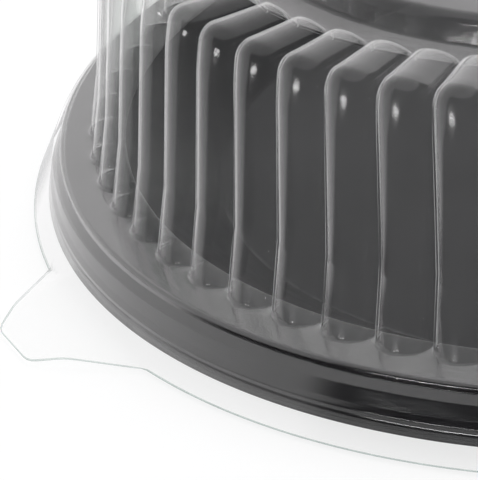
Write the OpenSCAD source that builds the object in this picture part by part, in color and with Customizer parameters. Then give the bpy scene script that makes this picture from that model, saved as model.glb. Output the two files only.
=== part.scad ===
// Round food carrier: a shallow formed tray under a clear fluted dome lid with one finger tab.
// The tray rests on z = 0, its axis is +Z, and the tab points to -Y.

/* [Tray] */
// Diameter of the flat floor, the size of the board that it takes
floor_d = 203; // [170:1:230]
// Height of the rim's shelf above the table
shelf_h = 15.5; // [13:0.5:20]
// Radial run of the slope from the floor to the shelf
slope_run = 21.3; // [16:0.1:26]
// Radial width of the shelf
shelf_w = 14.5; // [14:0.1:20]
// Drop of the step outside the shelf
step_h = 1.8; // [1.6:0.1:2.4]
// Radial width of the ledge below the step
ledge_w = 1.9; // [1.6:0.1:3]
// Drop across the ledge
ledge_drop = 1.6; // [1.2:0.1:2]
// Height of the outer wall
wall_h = 7.7; // [7:0.1:8.2]
// Radial flare of the outer wall
wall_flare = 2.8; // [1.8:0.1:3.4]
// How far the bead stands out from the outer wall
bead_out = 0.5; // [0.3:0.05:0.6]
// Thickness of the tray's sheet
tray_t = 0.8; // [0.6:0.1:1]

/* [Rim of the lid] */
// Thickness of the lid's sheet
lid_t = 0.6; // [0.5:0.1:0.8]
// Clearance between the lid's rim and the tray's
rim_gap = 0.4; // [0.35:0.05:0.6]
// Radial flare of the skirt from the ledge to the lip
skirt_flare = 6.4; // [5.4:0.1:9]
// Height of the lip above the table
lip_h = 0.6; // [0.4:0.1:1.2]

/* [Flutes] */
// Number of flutes round the dome
flute_count = 60; // [48:1:72]
// Turn of the flutes past the middle of the tab
flute_turn = 1.4; // [0:0.1:7]
// Width of the flange outside the foot of the flutes
flange_w = 6; // [4:0.1:8]
// Depth of a flute at its foot
foot_depth = 8; // [6:0.1:9]
// Height of the flared foot above the shelf
foot_h = 16.5; // [10:0.5:20]
// Radial draw-in of the flutes over the flared foot
foot_run = 3.2; // [1:0.1:5]
// Depth of a flute at the top of its flared foot
kink_depth = 10.5; // [8:0.1:12]
// Radial draw-in of the ribs from the foot to the shoulder
wall_run = 6.3; // [3:0.1:9]
// Radius of the ribs' shoulder
shoulder_r = 4.5; // [3:0.1:6]
// Radial distance from the ribs' shoulder in to the grooves' corner
groove_in = 5.6; // [4.5:0.1:8]
// Drop from the top of the ribs to the grooves' corner
groove_drop = 7.5; // [6:0.1:10]
// Radius of the grooves' corner
groove_r = 4; // [2:0.1:5]

/* [Top] */
// Height of the ring that the ribs end on
ring_h = 68.6; // [58:0.2:90]
// Height of the ribs above the ring
rib_h = 5.1; // [3.5:0.1:7]
// Radial run of the ribs over the top
rib_run = 20.8; // [16:0.1:26]
// Radial width of the ring inside the ribs
ring_w = 8.1; // [4:0.1:12]
// Height of the stacking plateau above the ring
plateau_h = 6.6; // [4:0.1:10]
// Radius of the plateau's rounded edge
plateau_fillet = 2.6; // [1.5:0.1:3.4]

/* [Tab] */
// How far the tab stands out from the lip
tab_l = 17.5; // [14:0.5:26]
// Width of the tab's root at the lip
tab_w = 52.4; // [44:0.2:64]
// Width of the tab's raised panel
tab_panel_w = 28; // [22:0.5:32]
// Height of the raised panel above the lip at its root
tab_rise = 5; // [3.5:0.1:6]
// Width of the blunt end of the tab
tab_tip_w = 16.6; // [10:0.2:20]
// Corner radius of the blunt end
tab_corner_r = 5; // [2:0.5:6]

/* [Hidden] */
$fn = 180;

// Radii of the tray's upper surface, from the floor outwards
floor_r = floor_d / 2;
shelf_in_r = floor_r + slope_run;
shelf_out_r = shelf_in_r + shelf_w;
ledge_r = shelf_out_r + ledge_w;
wall_r = ledge_r + wall_flare;

// Heights of the same surface
step_z = shelf_h - step_h;
ledge_z = step_z - ledge_drop;
wall_z = ledge_z - wall_h;

// Draft of the step, and the radii of the folds. A fold round a sheet's back clears its thickness
step_draft = 0.2;
floor_fold_r = 3;
tight_fold_r = 0.4;
back_room = 0.1;
tray_fold_r = tray_t + back_room;
lid_fold_r = lid_t + back_room;
fold_steps = 3;

// Bead part of the way down the outer wall
bead_half = 1.1;
bead_drop = 4.3;

// Radii and heights of the lid's rim, a clearance outside the tray's
lid_step_r = shelf_out_r + rim_gap;
lid_ledge_r = ledge_r + rim_gap;
lid_step_z = step_z + rim_gap;
lid_ledge_z = ledge_z + rim_gap;
lip_r = lid_ledge_r + skirt_flare;
flange_top = shelf_h + lid_t;

// Ribs and grooves of the flutes in the radial plane, as [radius, height]
half_pitch = 180 / flute_count;
sides = 5;
weld = 0.1;
foot_crest = [shelf_out_r - flange_w, shelf_h + weld];
foot_groove = foot_crest - [foot_depth, 0];
kink_crest = [foot_crest[0] - foot_run, shelf_h + foot_h];
kink_groove = kink_crest - [kink_depth, 0];
shoulder = [kink_crest[0] - wall_run, ring_h + rib_h];
groove_corner = shoulder - [groove_in, groove_drop];
rib_end = [shoulder[0] - rib_run, ring_h];
nose = rib_end + [2.4, rib_h - 0.7];

// Ring and plateau. The ring lies a little lower than the sheet that it laps
ring_step = 0.2;
ring_lap = 0.5;
ring_z = ring_h - ring_step;
plateau_r = rib_end[0] - ring_w;
plateau_z = ring_h + plateau_h;
plateau_draft = 1;

// Tab: distances along it from the axis, and the height of its raised panel
tab_root_r = sqrt(lip_r * lip_r - tab_w * tab_w / 4);
tab_end_r = lip_r + tab_l;
tab_panel_share = (tab_w - tab_panel_w) / (tab_w - tab_tip_w);
tab_panel_r = tab_root_r + (tab_end_r - tab_root_r) * tab_panel_share;
tab_low_z = lip_h + lid_t;
skirt_slope = (lip_r - lid_ledge_r - lid_t) / (lid_ledge_z + lid_t - lip_h);
tab_high_r = lip_r - tab_rise * skirt_slope;

// Folded sheet: a path of corners [across, height, fold radius] gets round folds and a thickness
function unit(v) = v / norm(v);
function mix(a, b, share) = a + (b - a) * share;
function fold(before, corner, after, r) =
    let (
        u = unit(before - corner),
        v = unit(after - corner),
        half = acos(u * v) / 2,
        centre = corner + unit(u + v) * r / sin(half),
        start = corner + u * r / tan(half) - centre,
        end = corner + v * r / tan(half) - centre,
        sweep = 180 - 2 * half
    )
    [for (i = [0 : fold_steps])
        let (turn = sweep * i / fold_steps)
        centre + (start * sin(sweep - turn) + end * sin(turn)) / sin(sweep)];
function flat(corner) = [corner[0], corner[1]];
function folded(path) = [
    flat(path[0]),
    for (i = [1 : len(path) - 2])
        each fold(flat(path[i - 1]), flat(path[i]), flat(path[i + 1]), path[i][2]),
    flat(path[len(path) - 1])
];
function left_normal(a, b) = [a[1] - b[1], b[0] - a[0]] / norm(b - a);
function inset(here, n1, n2, depth) = here - depth * (n1 + n2) / (1 + n1 * n2);
function inset_path(path, depth) =
    let (last = len(path) - 1)
    [for (i = [0 : last])
        let (
            n1 = left_normal(path[max(i, 1) - 1], path[max(i, 1)]),
            n2 = left_normal(path[min(i, last - 1)], path[min(i, last - 1) + 1])
        )
        inset(path[i], n1, n2, depth)];
module sheet(path, depth) {
    top = folded(path);
    back = inset_path(top, depth);
    polygon(concat(top, [for (i = [len(back) - 1 : -1 : 0]) back[i]]));
}

// Tray

module base_tray() {
    color([0.05, 0.05, 0.06])
        rotate_extrude()
            tray_section();
}

function outer_wall(drop, out, r) = [ledge_r + wall_flare * drop / wall_h + out, ledge_z - drop, r];
module tray_section() {
    sheet([
        [0, tray_t],
        [floor_r, tray_t, floor_fold_r],
        [shelf_in_r, shelf_h, tray_fold_r],
        [shelf_out_r - step_draft, shelf_h, tray_fold_r],
        [shelf_out_r, step_z, tight_fold_r],
        [ledge_r, ledge_z, tray_fold_r],
        outer_wall(bead_drop - bead_half, 0, tight_fold_r),
        outer_wall(bead_drop, bead_out, tray_fold_r),
        outer_wall(bead_drop + bead_half, 0, tight_fold_r),
        [wall_r, wall_z]
    ], tray_t);
}

// Lid

module dome_lid() {
    color([0.85, 0.9, 0.9, 0.5]) {
        fluted_wall();
        lid_rim();
        lid_top();
        tab();
    }
}

// Flat flange on the shelf and the rim down to the lip, open at the foot of the flutes and at the tab
module lid_rim() {
    difference() {
        rotate_extrude()
            rim_section();
        translate([0, 0, shelf_h - lid_t])
            linear_extrude(3 * lid_t)
                polygon([for (p = ring_points(0, lid_t)) [p[0], p[1]]]);
        tab_mouth();
    }
}

module rim_section() {
    sheet([
        [foot_groove[0] - foot_depth, shelf_h],
        [lid_step_r - step_draft, shelf_h, tight_fold_r],
        [lid_step_r, lid_step_z, lid_fold_r],
        [lid_ledge_r, lid_ledge_z, tight_fold_r],
        [lip_r - lid_t, lip_h]
    ], -lid_t);
}

// Ring inside the flutes, wall of the plateau with its rounded edge, and flat top
module lid_top() {
    rotate_extrude()
        sheet([
            [0, plateau_z],
            [plateau_r - plateau_draft, plateau_z, plateau_fillet],
            [plateau_r, ring_z, tight_fold_r],
            [rib_end[0] + ring_lap, ring_z]
        ], lid_t);
}

// Stations of the fluted wall, from the foot to the ring: the top of a rib and the bottom of a groove
crests = [
    foot_crest,
    kink_crest,
    each fold(kink_crest, shoulder, [rib_end[0], shoulder[1]], shoulder_r),
    nose,
    rib_end
];
grooves = [
    foot_groove,
    kink_groove,
    each fold(kink_groove, groove_corner, rib_end, groove_r),
    mix(groove_corner, rib_end, 0.78),
    rib_end
];
last = len(crests) - 1;

// Points across a rib, half an ellipse from groove to groove. Index 0 is in the groove, and an
// index below 0 or past the last side lies on the rib beside it.
function rib_point(depth, half_w, i) =
    let (
        rib = floor(i / sides),
        turn = 180 * (i / sides - rib) - 90
    )
    [half_w * (2 * rib + sin(turn)), depth * cos(turn)];
function rib_inset(depth, half_w, i, t) =
    let (
        before = rib_point(depth, half_w, i - 1),
        here = rib_point(depth, half_w, i),
        after = rib_point(depth, half_w, i + 1)
    )
    inset(here, left_normal(before, here), left_normal(here, after), t);

// One ring of points round the lid, at t below the outer surface
function ring_points(station, t) =
    let (
        groove = grooves[station],
        rise = crests[station] - groove,
        depth = norm(rise),
        up = depth > 0 ? rise / depth : [0, 1],
        half_w = groove[0] * half_pitch * PI / 180
    )
    [for (rib = [0 : flute_count - 1], i = [0 : sides - 1])
        let (
            p = rib_inset(depth, half_w, i, t),
            at = groove + p[1] * up,
            turn = -90 - flute_turn + half_pitch * (2 * rib + p[0] / half_w)
        )
        [at[0] * cos(turn), at[0] * sin(turn), at[1]]];

// Closed shell: the outer rings from the foot to the inner end, then the inner rings back
module fluted_wall() {
    count = flute_count * sides;
    outer = [for (k = [0 : last]) each ring_points(k, 0)];
    inner = [for (k = [last : -1 : 0]) each ring_points(k, lid_t)];
    rings = 2 * (last + 1);
    faces = [
        for (k = [0 : rings - 1], i = [0 : count - 1])
            let (
                low = k * count,
                high = (k + 1) % rings * count,
                j = (i + 1) % count
            )
            each [[low + i, high + j, low + j], [low + i, high + i, high + j]]
    ];
    polyhedron(concat(outer, inner), faces, convexity = 10);
}

// Tab: one sheet with a raised panel that falls to the blunt end, and a web on each side of it
function tab_z(r) = mix(tab_low_z, lip_h + tab_rise, (tab_end_r - r) / (tab_end_r - tab_high_r));
function tab_end_corner(side) = [
    for (p = fold(
        [side * tab_panel_w / 2, tab_panel_r],
        [side * tab_tip_w / 2, tab_end_r],
        [0, tab_end_r],
        min(tab_corner_r, tab_tip_w / 2)
    ))
        [p[0], -p[1], tab_z(p[1])]
];
module tab() {
    half_w = tab_w / 2;
    half_panel = tab_panel_w / 2;
    left = tab_end_corner(-1);
    right = tab_end_corner(1);
    bends = len(left);
    top = concat(
        [
            [half_panel, -tab_high_r + 1, tab_z(tab_high_r - 1)],
            [-half_panel, -tab_high_r + 1, tab_z(tab_high_r - 1)],
            [-half_w, -tab_root_r, tab_low_z],
            [-half_panel, -tab_panel_r, tab_z(tab_panel_r)]
        ],
        left,
        [for (i = [bends - 1 : -1 : 0]) right[i]],
        [
            [half_panel, -tab_panel_r, tab_z(tab_panel_r)],
            [half_w, -tab_root_r, tab_low_z]
        ]
    );
    count = len(top);
    panel = concat([0, 1], [for (i = [3 : count - 2]) i]);
    webs = [[1, 2, 3], [0, count - 2, count - 1]];
    upper = concat([panel], webs);
    bottom = [for (p = top) p - [0, 0, lid_t]];
    faces = concat(
        [for (f = upper) [for (i = [len(f) - 1 : -1 : 0]) f[i]]],
        [for (f = upper) [for (i = f) i + count]],
        [for (i = [0 : count - 1])
            let (j = (i + 1) % count)
            [i, j, j + count, i + count]]
    );
    difference() {
        polyhedron(concat(top, bottom), faces, convexity = 4);
        skirt_core();
    }
}

// Solid inside the middle of the skirt's sheet, which trims the root of the tab
module skirt_core() {
    rotate_extrude()
        polygon([
            [0, lip_h - 1],
            [lip_r - lid_t / 2 + skirt_slope, lip_h - 1],
            [lid_ledge_r, lid_ledge_z + lid_t / 2],
            [0, lid_ledge_z + lid_t / 2]
        ]);
}

// Opening in the skirt under the raised panel
module tab_mouth() {
    half_mouth = tab_panel_w / 2 - lid_t;
    mouth_top = lip_h + tab_rise - lid_t * 0.9;
    translate([-half_mouth, -lip_r - 1, lip_h - 1])
        cube([2 * half_mouth, lip_r - ledge_r + 6, mouth_top - lip_h + 1]);
}

base_tray();
dome_lid();
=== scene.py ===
"""Round food carrier: a black formed tray under a clear fluted dome lid, on a pale floor."""
import math

import bpy
from mathutils import Matrix, Vector


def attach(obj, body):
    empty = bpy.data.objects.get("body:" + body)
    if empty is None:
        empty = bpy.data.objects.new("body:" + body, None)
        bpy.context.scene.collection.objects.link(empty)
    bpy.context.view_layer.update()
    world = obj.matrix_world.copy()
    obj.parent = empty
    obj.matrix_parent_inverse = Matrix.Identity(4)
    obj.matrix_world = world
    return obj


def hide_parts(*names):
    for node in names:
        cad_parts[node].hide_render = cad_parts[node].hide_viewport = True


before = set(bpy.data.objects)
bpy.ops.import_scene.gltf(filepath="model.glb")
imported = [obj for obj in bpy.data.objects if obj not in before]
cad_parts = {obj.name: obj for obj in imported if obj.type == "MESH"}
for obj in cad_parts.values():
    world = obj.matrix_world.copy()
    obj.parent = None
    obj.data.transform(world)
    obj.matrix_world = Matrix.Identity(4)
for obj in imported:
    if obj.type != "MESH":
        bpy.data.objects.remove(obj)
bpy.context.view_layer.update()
MM = 0.001
scene = bpy.context.scene
scene.view_settings.view_transform = "Standard"
scene.cycles.transparent_max_bounces = 32  # a ray crosses many layers of clear sheet

# ---------------------------------------------------------------- sizes, in mm
SHEET_TRAY, SHEET_LID = 0.8, 0.6
SHEET_LOOK = 0.5  # leaves a hair of air between the lid's flange and the shelf
LIP_LINE = 0.14  # width of the cut edge's bright line
SHELF_H = 15.5
FLOOR_R, SHELF_IN_R, SHELF_OUT_R = 101.5, 122.8, 137.3
STEP_Z, LEDGE_R, LEDGE_Z = 13.7, 139.2, 12.1
WALL_H, WALL_FLARE = 7.7, 2.8
BEAD_OUT, BEAD_DROP, BEAD_HALF = 0.5, 4.3, 1.1
RIM_GAP = 0.4
LIP_R, LIP_Z = 146.0, 0.6
FLUTES, FLUTE_TURN = 60, 1.4
FOOT_R, FOOT_DEPTH = 131.3, 8.0
KINK_R, KINK_DEPTH, KINK_Z = 128.1, 10.5, 32.0
SHOULDER = (121.8, 73.7)
GROOVE = (116.2, 66.2)
RIB_END = (101.0, 68.6)
FLATNESS, FLAT_DEPTH = 0.8, 0.95  # the ribs' fronts are flatter than half an ellipse
BOW = (123.45, 65.5)  # the ribs bow out a little below the shoulder
NOSE = (103.4, 73.0)
PLATEAU_R, PLATEAU_Z = 92.9, 75.2
TAB_END, TAB_ROOT_HALF, TAB_PANEL_HALF, TAB_TIP_HALF = 163.5, 26.2, 14.0, 8.3
TAB_RISE, TAB_CORNER = 5.0, 5.0
CROWN_RINGS, CROWN_STEP = 14, 6.0  # even rings over the flat plateau
SHOULDER_FOLD, BOW_FOLD, GROOVE_FOLD, KINK_FOLD, FOOT_FOLD = 4.0, 45.0, 4.0, 14.0, 0.9
SHARP_ANGLE = 40  # edges sharper than this aren't smoothed, in degrees


# ---------------------------------------------------------------- folded paths
def unit(v):
    n = math.hypot(*v)
    return (v[0] / n, v[1] / n)


def mix(a, b, s):
    return tuple(x + (y - x) * s for x, y in zip(a, b))


def fold(before, corner, after, r, steps=6):
    """Points on a round fold of radius r between two straight runs."""
    u = unit((before[0] - corner[0], before[1] - corner[1]))
    v = unit((after[0] - corner[0], after[1] - corner[1]))
    half = math.acos(max(-1.0, min(1.0, u[0] * v[0] + u[1] * v[1]))) / 2
    w = unit((u[0] + v[0], u[1] + v[1]))
    centre = (corner[0] + w[0] * r / math.sin(half), corner[1] + w[1] * r / math.sin(half))
    reach = r / math.tan(half)
    start = (corner[0] + u[0] * reach - centre[0], corner[1] + u[1] * reach - centre[1])
    end = (corner[0] + v[0] * reach - centre[0], corner[1] + v[1] * reach - centre[1])
    sweep = math.pi - 2 * half
    made = []
    for i in range(steps + 1):
        t = sweep * i / steps
        a, b = math.sin(sweep - t) / math.sin(sweep), math.sin(t) / math.sin(sweep)
        made.append((centre[0] + start[0] * a + end[0] * b, centre[1] + start[1] * a + end[1] * b))
    return made


def folded(path, steps=6):
    made = [path[0][:2]]
    for i in range(1, len(path) - 1):
        made += fold(path[i - 1][:2], path[i][:2], path[i + 1][:2], path[i][2], steps)
    return made + [path[-1][:2]]


def inset_path(path, depth):
    """The path moved sideways by depth, with mitred corners."""
    def normal(a, b):
        n = math.dist(a, b)
        return ((a[1] - b[1]) / n, (b[0] - a[0]) / n)
    made, last = [], len(path) - 1
    for i, p in enumerate(path):
        n1 = normal(path[max(i, 1) - 1], path[max(i, 1)])
        n2 = normal(path[min(i, last - 1)], path[min(i, last - 1) + 1])
        k = depth / (1 + n1[0] * n2[0] + n1[1] * n2[1])
        made.append((p[0] - k * (n1[0] + n2[0]), p[1] - k * (n1[1] + n2[1])))
    return made


def new_object(name, verts, faces):
    mesh = bpy.data.meshes.new(name)
    mesh.from_pydata([(x * MM, y * MM, z * MM) for x, y, z in verts], [], faces)
    mesh.validate()
    mesh.polygons.foreach_set("use_smooth", [True] * len(mesh.polygons))
    mesh.update()
    obj = bpy.data.objects.new(name, mesh)
    scene.collection.objects.link(obj)
    return obj


# ---------------------------------------------------------------- tray
def outer_wall(drop, out, r):
    return (LEDGE_R + WALL_FLARE * drop / WALL_H + out, LEDGE_Z - drop, r)


def make_tray(columns=360):
    top = folded([
        (0, SHEET_TRAY),
        (FLOOR_R, SHEET_TRAY, 3.0),
        (SHELF_IN_R, SHELF_H, 1.4),
        (SHELF_OUT_R - 0.2, SHELF_H, 0.9),
        (SHELF_OUT_R, STEP_Z, 0.4),
        (LEDGE_R, LEDGE_Z, 0.9),
        outer_wall(BEAD_DROP - BEAD_HALF, 0, 0.5),
        outer_wall(BEAD_DROP, BEAD_OUT, 0.9),
        outer_wall(BEAD_DROP + BEAD_HALF, 0, 0.5),
        (LEDGE_R + WALL_FLARE, LEDGE_Z - WALL_H),
    ])
    back = inset_path(top, SHEET_TRAY)
    loop = top[1:] + back[:0:-1]
    verts = [(0, 0, SHEET_TRAY), (0, 0, 0)]
    for k in range(columns):
        a = 2 * math.pi * k / columns
        verts += [(r * math.cos(a), r * math.sin(a), z) for r, z in loop]
    n, faces = len(loop), []
    for k in range(columns):
        here, there = 2 + k * n, 2 + (k + 1) % columns * n
        faces += [(here + i, there + i, there + i + 1, here + i + 1)[::-1] for i in range(n - 1)]
        faces += [(0, here, there), (1, there + n - 1, here + n - 1)]
    made = new_object("tray_sheet", verts, faces)
    for face in made.data.polygons:
        if face.center.xy.length < (SHELF_IN_R - 1) * MM:
            face.material_index = 1
    return made


# ---------------------------------------------------------------- lid
SIDES = 12
COLUMNS = FLUTES * SIDES
TAB_ANGLE = -math.pi / 2
SKIRT_RINGS = (0.12, 0.24, 0.34, 0.4, 0.46, 0.52, 0.58, 0.64, 0.7, 0.76, 0.82, 0.88, 0.94, 1.0, 1.0)
# at the tab the rings hurry over the skirt's first part, then spread over the tab's sheet
SKIRT_HASTE, SKIRT_PART, TAB_START = 1.9, 0.62, 0.34


def lid_stations():
    """Stations of the lid from the crown to the flange, as (crest, groove) pairs."""
    same = lambda p: (p, p)
    top = [(CROWN_STEP * k, PLATEAU_Z) for k in range(1, CROWN_RINGS + 1)]
    top += fold((0, PLATEAU_Z), (PLATEAU_R - 1.0, PLATEAU_Z), (PLATEAU_R, RIB_END[1]), 2.6, 8)
    top += fold((PLATEAU_R - 1.0, PLATEAU_Z), (PLATEAU_R, RIB_END[1]), RIB_END, 0.6, 4)
    made = [same(p) for p in top] + [same(mix((PLATEAU_R, RIB_END[1]), RIB_END, 0.5))]
    shoulder_in = (RIB_END[0], SHOULDER[1])
    foot_c, foot_g = (FOOT_R, SHELF_H + SHEET_LID), (FOOT_R - FOOT_DEPTH, SHELF_H + SHEET_LID)
    kink_c, kink_g = (KINK_R, KINK_Z), (KINK_R - KINK_DEPTH, KINK_Z)
    ring_in = (PLATEAU_R, RIB_END[1])
    # the short steep nose of each rib, rising from the ring
    crest = fold(ring_in, RIB_END, NOSE, 0.8, 3) + fold(RIB_END, NOSE, mix(NOSE, SHOULDER, 0.5), 1.4, 4)
    groove = [mix(RIB_END, GROOVE, 0.012 * k) for k in range(len(crest))]
    for k in range(1, 6):
        crest.append(mix(crest[-1] if k == 1 else NOSE, (SHOULDER[0] - 3.0, SHOULDER[1]), k / 6.5))
    base = len(groove)
    for k in range(1, 6):
        groove.append(mix(groove[base - 1], GROOVE, k / 7))
    corner = (SHOULDER[0] - 0.8, SHOULDER[1])
    crest += fold(shoulder_in, corner, BOW, SHOULDER_FOLD, 8) + fold(corner, BOW, kink_c, BOW_FOLD, 5)
    groove += fold(RIB_END, GROOVE, kink_g, GROOVE_FOLD, 8)
    for k in range(1, 7):
        groove.append(mix(groove[-1], kink_g, 1 / (14 - k)))
    for k in range(1, 4):
        crest.append(mix(crest[-1], kink_c, 1 / (5 - k)))
        groove.append(mix(groove[-1], kink_g, 1 / (5 - k)))
    crest += fold(BOW, kink_c, foot_c, KINK_FOLD, 4)
    groove += fold(GROOVE, kink_g, foot_g, KINK_FOLD, 4)
    flat = (SHELF_OUT_R, SHELF_H + SHEET_LID)
    crest += [mix(crest[-1], foot_c, 0.5)] + fold(kink_c, foot_c, flat, FOOT_FOLD, 5)
    groove += [mix(groove[-1], foot_g, 0.5)] + fold(kink_g, foot_g, flat, FOOT_FOLD, 5)
    return made + list(zip(crest, groove))


def rim_path():
    """Outer surface of the rim, from the flange to the top of the skirt."""
    inner = [
        (FOOT_R, SHELF_H),
        (SHELF_OUT_R + RIM_GAP - 0.2, SHELF_H, 0.4),
        (SHELF_OUT_R + RIM_GAP, STEP_Z + RIM_GAP, 0.7),
        (LEDGE_R + RIM_GAP, LEDGE_Z + RIM_GAP, 0.4),
        (LIP_R - SHEET_LID, LIP_Z),
    ]
    return inset_path(folded(inner, 5), -SHEET_LID)


def tab_edge(across_angle):
    """Distance from the axis to the lid's edge at an angle from the tab's middle."""
    t = abs(across_angle)
    root_y = math.sqrt(LIP_R ** 2 - TAB_ROOT_HALF ** 2)
    if t >= math.atan2(TAB_ROOT_HALF, root_y):
        return LIP_R - 0.07
    corner = fold((TAB_ROOT_HALF, root_y), (TAB_TIP_HALF, TAB_END), (0, TAB_END), TAB_CORNER, 8)
    line = [(TAB_ROOT_HALF, root_y)] + corner + [(0, TAB_END)]
    sx, sy = math.sin(t), math.cos(t)
    for (x0, y0), (x1, y1) in zip(line, line[1:]):
        det = sx * (y1 - y0) - sy * (x1 - x0)
        if abs(det) > 1e-9:
            s = (x0 * (y1 - y0) - y0 * (x1 - x0)) / det
            k = (sx * s - x0) / (x1 - x0) if abs(x1 - x0) > 1e-9 else (sy * s - y0) / (y1 - y0)
            if -1e-6 <= k <= 1 + 1e-6:
                return s
    return TAB_END


def plane_through(a, b, c):
    u, v = Vector(b) - Vector(a), Vector(c) - Vector(a)
    n = u.cross(v)
    return lambda x, y: a[2] - (n.x * (x - a[0]) + n.y * (y - a[1])) / n.z


def tab_height():
    """Height of the tab's upper surface over (across, along)."""
    root_y = math.sqrt(LIP_R ** 2 - TAB_ROOT_HALF ** 2)
    low = LIP_Z + SHEET_LID
    slope_r = (LIP_R - LEDGE_R - RIM_GAP - SHEET_LID) / (LEDGE_Z + RIM_GAP + SHEET_LID - LIP_Z)
    high_r = LIP_R - TAB_RISE * slope_r
    share = (TAB_ROOT_HALF - TAB_PANEL_HALF) / (TAB_ROOT_HALF - TAB_TIP_HALF)
    panel_r = root_y + (TAB_END - root_y) * share

    def panel(y):
        return low + (LIP_Z + TAB_RISE - low) * (TAB_END - y) / (TAB_END - high_r)
    web = plane_through(
        (TAB_PANEL_HALF, high_r - 1, panel(high_r - 1)),
        (TAB_PANEL_HALF, panel_r, panel(panel_r)),
        (TAB_ROOT_HALF, root_y, low),
    )
    return lambda x, y: soft_min(panel(y), web(abs(x), y), 0.5)


def soft_min(a, b, k):
    h = max(k - abs(a - b), 0.0) / k
    return min(a, b) - h * h * k / 4


def make_lid():
    stations, rim, edge = lid_stations(), rim_path(), tab_height()
    half = math.pi / FLUTES
    shares, at_rib, even = [], [], []
    for rib in range(FLUTES):
        for i in range(SIDES):
            t = math.pi * i / SIDES - math.pi / 2
            shares.append(FLAT_DEPTH * math.cos(t) ** FLATNESS)
            at_rib.append(TAB_ANGLE - math.radians(FLUTE_TURN) + half * (2 * rib + math.sin(t)))
            even.append(TAB_ANGLE - math.radians(FLUTE_TURN) + half * (2 * rib - 1 + 2 * i / SIDES))
    rings = []
    for crest, groove in stations:
        ring = []
        for s, a in zip(shares, at_rib):
            r, z = mix(groove, crest, s)
            ring.append((r * math.cos(a), r * math.sin(a), z))
        rings.append(ring)
    # across the flange the columns slide to even angles
    foot = rings[-1]
    flat_r = rim[1][0] - 0.5
    for k in (1, 2, 3):
        s, ring = k / 3, []
        for (x, y, z), a, e in zip(foot, at_rib, even):
            r = math.hypot(x, y) + (flat_r - math.hypot(x, y)) * s
            turn = a + (e - a) * s
            ring.append((r * math.cos(turn), r * math.sin(turn), z))
        rings.append(ring)
    for r, z in rim[1:-1]:
        rings.append([(r * math.cos(e), r * math.sin(e), z) for e in even])
    # skirt and tab: the higher of the skirt's cone and the tab's sheet
    top_r, top_z = rim[-2]
    low_r, low_z = rim[-1]
    fall = (top_z - low_z) / (low_r - top_r)
    skirt_w = LIP_R - top_r
    for count, share in enumerate(SKIRT_RINGS):
        ring = []
        for e in even:
            off = math.remainder(e - TAB_ANGLE, 2 * math.pi)
            out = tab_edge(off)
            if count == len(SKIRT_RINGS) - 2:
                share = 1 - LIP_LINE / (out - top_r)
            r = top_r + (out - top_r) * share
            if out > LIP_R:
                on_tab = max(share - TAB_START, 0) / (1 - TAB_START)
                r = top_r + skirt_w * min(share * SKIRT_HASTE, 1) * SKIRT_PART
                r += on_tab * (out - top_r - skirt_w * SKIRT_PART)
            x, y = r * math.sin(off), r * math.cos(off)
            z = top_z - fall * (r - top_r)
            if out > LIP_R:
                z = -soft_min(-z, -edge(x, y), 0.8)
            ring.append((r * math.cos(e), r * math.sin(e), max(z, LIP_Z + 0.3)))
        rings.append(ring)
    verts = [(0, 0, PLATEAU_Z)] + [p for ring in rings for p in ring]
    faces = [(0, 1 + i, 1 + (i + 1) % COLUMNS) for i in range(COLUMNS)]
    for k in range(len(rings) - 1):
        a, b = 1 + k * COLUMNS, 1 + (k + 1) * COLUMNS
        for i in range(COLUMNS):
            j = (i + 1) % COLUMNS
            faces.append((a + i, b + i, b + j, a + j))
    lid = new_object("lid_sheet", verts, faces)
    lid.data.set_sharp_from_angle(angle=math.radians(SHARP_ANGLE))
    for face in lid.data.polygons[-COLUMNS:]:
        face.material_index = 1
    thick = lid.modifiers.new("sheet", "SOLIDIFY")
    thick.thickness, thick.offset = SHEET_LOOK * MM, -1
    thick.material_offset_rim = 1
    return lid


# ---------------------------------------------------------------- materials
class Nodes:
    """Short calls for a material's or the world's node tree."""

    def __init__(self, owner):
        owner.use_nodes = True
        self.tree = owner.node_tree
        self.tree.nodes.clear()

    def add(self, kind, settings=None, **inputs):
        n = self.tree.nodes.new(kind)
        for key, value in (settings or {}).items():
            setattr(n, key, value)
        for key, value in inputs.items():
            self.put(n, key, value)
        return n

    def put(self, n, key, value):
        numbered = key[0] == "_" and key[1:].isdigit()
        socket = n.inputs[int(key[1:])] if numbered else n.inputs[key.replace("_", " ")]
        if isinstance(value, bpy.types.NodeSocket):
            self.tree.links.new(value, socket)
        else:
            socket.default_value = value

    def maths(self, operation, a, b, clamp=False):
        n = self.add("ShaderNodeMath", {"operation": operation, "use_clamp": clamp}, _0=a, _1=b)
        return n.outputs[0]

    def spread(self, value, a, b, c, d):
        """The value, taken smoothly from the range a to b into the range c to d."""
        smooth = {"interpolation_type": "SMOOTHSTEP"}
        return self.add("ShaderNodeMapRange", smooth, _0=value, _1=a, _2=b, _3=c, _4=d).outputs[0]

    def noise(self, place, scale, detail=2.0, rough=0.5):
        n = self.add("ShaderNodeTexNoise", None, Vector=place, Scale=scale, Detail=detail, Roughness=rough)
        return n.outputs[0]


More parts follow.
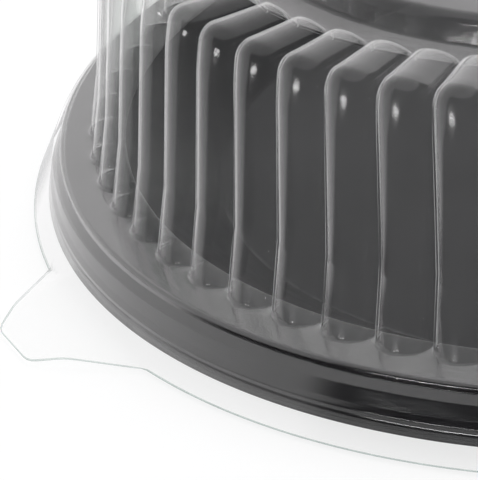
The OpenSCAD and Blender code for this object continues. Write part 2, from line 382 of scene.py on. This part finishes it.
def black_sheet(name, dull, ior):
    """Black formed sheet: even gloss with faint drawn streaks. dull is its roughness."""
    mat = bpy.data.materials.new(name)
    n = Nodes(mat)
    place = n.add("ShaderNodeTexCoord").outputs["Object"]
    stretched = n.add("ShaderNodeMapping", None, Vector=place, Scale=(1, 1, 6)).outputs[0]
    broad, fine = n.noise(place, 14), n.noise(stretched, 120, 2, 0.5)
    colour = n.add("ShaderNodeMix", {"data_type": "RGBA"}, Factor=n.spread(broad, 0.35, 0.7, 0, 1),
                   _6=(0.0065, 0.0065, 0.0075, 1), _7=(0.0115, 0.011, 0.0125, 1)).outputs[2]
    rough = n.spread(fine, 0.3, 0.75, dull, dull + 0.04)
    waves = n.noise(place, 30, 0)
    bump = n.add("ShaderNodeBump", None, Strength=0.08, Distance=0.0006, Height=waves).outputs[0]
    shine = n.add("ShaderNodeBsdfPrincipled", None,
                  Base_Color=colour, Roughness=rough, IOR=ior, Normal=bump)
    n.add("ShaderNodeOutputMaterial", None, Surface=shine.outputs[0])
    return mat


def clear_sheet():
    """Thin clear sheet: each front face mirrors as both sides of the sheet do, and lets the rest through."""
    mat = bpy.data.materials.new("clear_sheet")
    n = Nodes(mat)
    place = n.add("ShaderNodeTexCoord").outputs["Object"]
    ripple = n.maths("ADD", n.noise(place, 45, 1.5), n.maths("MULTIPLY", n.noise(place, 420, 2), 0.02))
    bump = n.add("ShaderNodeBump", None, Strength=0.14, Distance=0.0006, Height=ripple).outputs[0]
    facing = n.add("ShaderNodeLayerWeight", None, Blend=0.5, Normal=bump).outputs["Facing"]
    twice = n.maths("ADD", n.maths("MULTIPLY", n.maths("POWER", facing, 2.5), 0.85), 0.03, clamp=True)
    front = n.maths("SUBTRACT", 1, n.add("ShaderNodeNewGeometry").outputs["Backfacing"])
    rough = n.spread(n.noise(place, 90, 2), 0.35, 0.7, 0.1, 0.15)
    mirror = n.add("ShaderNodeBsdfGlossy", None,
                   Color=(1, 0.985, 0.995, 1), Roughness=rough, Normal=bump).outputs[0]
    tint = n.add("ShaderNodeMix", {"data_type": "RGBA"}, Factor=n.spread(n.noise(place, 20), 0.3, 0.7, 0, 1),
                 _6=(0.989, 0.991, 0.99, 1), _7=(0.994, 0.995, 0.994, 1)).outputs[2]
    through = n.add("ShaderNodeBsdfTransparent", None, Color=tint).outputs[0]
    haze = n.add("ShaderNodeBsdfDiffuse", None, Color=(0.8, 0.79, 0.8, 1), Normal=bump).outputs[0]
    cloudy = n.maths("MULTIPLY", n.spread(n.noise(place, 60, 3), 0.3, 0.8, 0.003, 0.012), front)
    body = n.add("ShaderNodeMixShader", None, _0=cloudy, _1=through, _2=haze).outputs[0]
    sheet = n.add("ShaderNodeMixShader", None, _0=n.maths("MULTIPLY", twice, front), _1=body, _2=mirror)
    # a sheen where the sheet is seen nearly edge on
    pale = n.add("ShaderNodeBsdfSheen", None, Color=(1, 1, 1, 1), Roughness=0.5).outputs[0]
    line = n.maths("MULTIPLY", n.spread(facing, 0.8, 0.94, 0, 0.85), front)
    lined = n.add("ShaderNodeMixShader", None, _0=line, _1=sheet.outputs[0], _2=pale)
    n.add("ShaderNodeOutputMaterial", None, Surface=lined.outputs[0])
    return mat


def clear_edge():
    """The sheet's cut edge, darker than its face."""
    mat = bpy.data.materials.new("clear_edge")
    n = Nodes(mat)
    place = n.add("ShaderNodeTexCoord").outputs["Object"]
    uneven = n.spread(n.noise(place, 300, 2), 0.35, 0.65, 0.38, 0.5)
    solid = n.add("ShaderNodeBsdfPrincipled", None, Base_Color=(0.5, 0.54, 0.53, 1), Roughness=0.25, IOR=1.5)
    through = n.add("ShaderNodeBsdfTransparent", None, Color=(0.9, 0.95, 0.93, 1)).outputs[0]
    edge = n.add("ShaderNodeMixShader", None, _0=uneven, _1=through, _2=solid.outputs[0])
    n.add("ShaderNodeOutputMaterial", None, Surface=edge.outputs[0])
    return mat


def seen(n):
    """1 for a ray that shows the background: straight to the camera, mirrored or through glass."""
    path = n.add("ShaderNodeLightPath")
    both = n.maths("MAXIMUM", path.outputs["Is Camera Ray"], path.outputs["Is Glossy Ray"])
    return n.maths("MAXIMUM", both, path.outputs["Is Transmission Ray"])


def pale_floor():
    mat = bpy.data.materials.new("pale_floor")
    n = Nodes(mat)
    place = n.add("ShaderNodeTexCoord").outputs["Object"]
    shade = n.spread(n.noise(place, 3), 0.3, 0.7, 0.9, 0.92)
    colour = n.add("ShaderNodeCombineColor", None, _0=shade, _1=shade, _2=shade).outputs[0]
    paper = n.add("ShaderNodeBsdfDiffuse", None, Color=colour).outputs[0]
    white = n.add("ShaderNodeEmission", None, Color=(1, 1, 1, 1), Strength=1.0).outputs[0]
    both = n.add("ShaderNodeMixShader", None, _0=n.maths("MULTIPLY", seen(n), 0.8), _1=paper, _2=white)
    n.add("ShaderNodeOutputMaterial", None, Surface=both.outputs[0])
    return mat


# ---------------------------------------------------------------- the object
tray, lid = make_tray(), make_lid()
tray.data.materials.append(black_sheet("black_rim", 0.08, 1.6))
tray.data.materials.append(black_sheet("black_floor", 0.3, 1.3))
lid.data.materials.append(clear_sheet())
lid.data.materials.append(clear_edge())
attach(tray, "tray")
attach(lid, "lid")
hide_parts("base_tray")
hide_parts("dome_lid")

# ---------------------------------------------------------------- camera
CAM_DISTANCE, CAM_HEIGHT = 4.718, 2.448
YAW, PITCH, ROLL = -0.14373, 0.4995, -0.10883
TURN = math.radians(58.74)
FOCAL_PX, LONG_SIDE_PX = 3257.0, 480
fit_unit = 0.146
ahead = Vector((math.sin(YAW) * math.cos(PITCH), math.cos(YAW) * math.cos(PITCH), -math.sin(PITCH)))
right = Vector((math.cos(YAW), -math.sin(YAW), 0))
up = right.cross(ahead)
across = right * math.cos(ROLL) + up * math.sin(ROLL)
upward = up * math.cos(ROLL) - right * math.sin(ROLL)
turn = Matrix.Rotation(TURN, 3, "Z")
cam_data = bpy.data.cameras.new("camera")
cam = bpy.data.objects.new("camera", cam_data)
scene.collection.objects.link(cam)
axes = Matrix((turn @ across, turn @ upward, turn @ -ahead)).transposed()
spot = turn @ Vector((0, -CAM_DISTANCE * fit_unit, CAM_HEIGHT * fit_unit)) + Vector((0, 0, LIP_Z * MM))
cam.matrix_world = Matrix.Translation(spot) @ axes.to_4x4()
cam_data.sensor_width = 36.0
cam_data.lens = cam_data.sensor_width * FOCAL_PX / LONG_SIDE_PX
cam_data.clip_start, cam_data.clip_end = 0.01, 50
scene.camera = cam

# ---------------------------------------------------------------- studio
floor_mesh = bpy.data.meshes.new("floor")
reach = 6.0
low = -0.0001
corners = ((-reach, -reach), (reach, -reach), (reach, reach), (-reach, reach))
floor_mesh.from_pydata([(x, y, low) for x, y in corners], [], [(0, 1, 2, 3)])
floor = bpy.data.objects.new("floor", floor_mesh)
scene.collection.objects.link(floor)
floor_mesh.materials.append(pale_floor())

world = bpy.data.worlds.new("studio")
scene.world = world
n = Nodes(world)
light = n.add("ShaderNodeBackground", None, Color=(0.97, 0.98, 1.0, 1), Strength=0.62).outputs[0]
plain = n.add("ShaderNodeBackground", None, Color=(1, 1, 1, 1), Strength=1.0).outputs[0]
n.add("ShaderNodeOutputWorld", None,
      Surface=n.add("ShaderNodeMixShader", None, _0=seen(n), _1=light, _2=plain).outputs[0])

CAMERA_SIDE = math.radians(-31.26)


def place_round(obj, azimuth, elevation, distance):
    """Puts obj at a distance in metres, facing the middle. The azimuth in degrees is from the
    camera's side, positive to the photograph's right."""
    a, e = CAMERA_SIDE + math.radians(azimuth), math.radians(elevation)
    way = Vector((math.cos(a) * math.cos(e), math.sin(a) * math.cos(e), math.sin(e)))
    facing = way.to_track_quat("Z", "Y").to_matrix().to_4x4()
    obj.matrix_world = Matrix.Translation(way * distance) @ facing
    scene.collection.objects.link(obj)


def lamp(name, azimuth, elevation, distance, size, power):
    """A soft square lamp."""
    data = bpy.data.lights.new(name, "AREA")
    data.shape = "SQUARE"
    data.size, data.energy = size, power
    obj = bpy.data.objects.new(name, data)
    place_round(obj, azimuth, elevation, distance)
    return obj


for soft in (lamp("overhead", 150, 62, 1.5, 1.1, 16), lamp("left", -80, 30, 1.6, 0.9, 7)):
    soft.visible_glossy = False


CARD_DARK, CARD_FADE = 0.04, 0.16  # glow of the card, and the turn in radians over which its edge fades
CARD_TOP_FADE = (1.3, 1.5)  # heights in metres over which the standing card fades


def dark_side(start, stop, elevation, inner=0.16, outer=1.5, columns=48):
    """Dark cards round the camera's side, lying and standing, that only reflections show."""
    verts = []
    for k in range(columns + 1):
        a = CAMERA_SIDE + math.radians(start + (stop - start) * k / columns)
        for r, z in ((inner, 0), (outer, 0), (outer, outer * math.tan(math.radians(elevation)))):
            verts.append((r * math.cos(a), r * math.sin(a), z))
    faces = []
    for k in range(columns):
        for i in range(2):
            faces.append((3 * k + i, 3 * k + 3 + i, 3 * k + 4 + i, 3 * k + 1 + i))
    mesh = bpy.data.meshes.new("dark_side")
    mesh.from_pydata(verts, [], faces)
    card = bpy.data.objects.new("dark_side", mesh)
    scene.collection.objects.link(card)
    mat = bpy.data.materials.new("card")
    n = Nodes(mat)
    place = n.add("ShaderNodeSeparateXYZ", None, _0=n.add("ShaderNodeTexCoord").outputs["Object"]).outputs
    round_it = n.maths("ARCTAN2", place[1], place[0])
    near = CAMERA_SIDE + math.radians(start)
    side = n.spread(round_it, near, near + CARD_FADE, 1, CARD_DARK)
    light = n.maths("MAXIMUM", side, n.spread(place[2], *CARD_TOP_FADE, CARD_DARK, 1))
    face = n.add("ShaderNodeEmission", None, Color=(1, 1, 1, 1), Strength=light)
    n.add("ShaderNodeOutputMaterial", None, Surface=face.outputs[0])
    mesh.materials.append(mat)
    only_mirrored(card)


def glow(name, strength):
    mat = bpy.data.materials.new(name)
    n = Nodes(mat)
    light = n.add("ShaderNodeEmission", None, Color=(1, 1, 1, 1), Strength=strength)
    n.add("ShaderNodeOutputMaterial", None, Surface=light.outputs[0])
    return mat


def only_mirrored(obj):
    obj.visible_camera = obj.visible_diffuse = obj.visible_transmission = obj.visible_shadow = False


def catch_light(azimuth, elevation, distance, width, height, strength, corners=24):
    """An oval lamp face that only reflections show."""
    mesh = bpy.data.meshes.new("catch_light")
    turns = [2 * math.pi * t / corners for t in range(corners)]
    ring = [(width / 2 * math.cos(t), height / 2 * math.sin(t), 0) for t in turns]
    mesh.from_pydata(ring, [], [tuple(range(corners))])
    obj = bpy.data.objects.new("catch_light", mesh)
    place_round(obj, azimuth, elevation, distance)
    mesh.materials.append(glow("lamp_face", strength))
    only_mirrored(obj)


dark_side(-62, 120, 48)
catch_light(-38, 2.35, 1.4, 0.6, 0.105, 16)
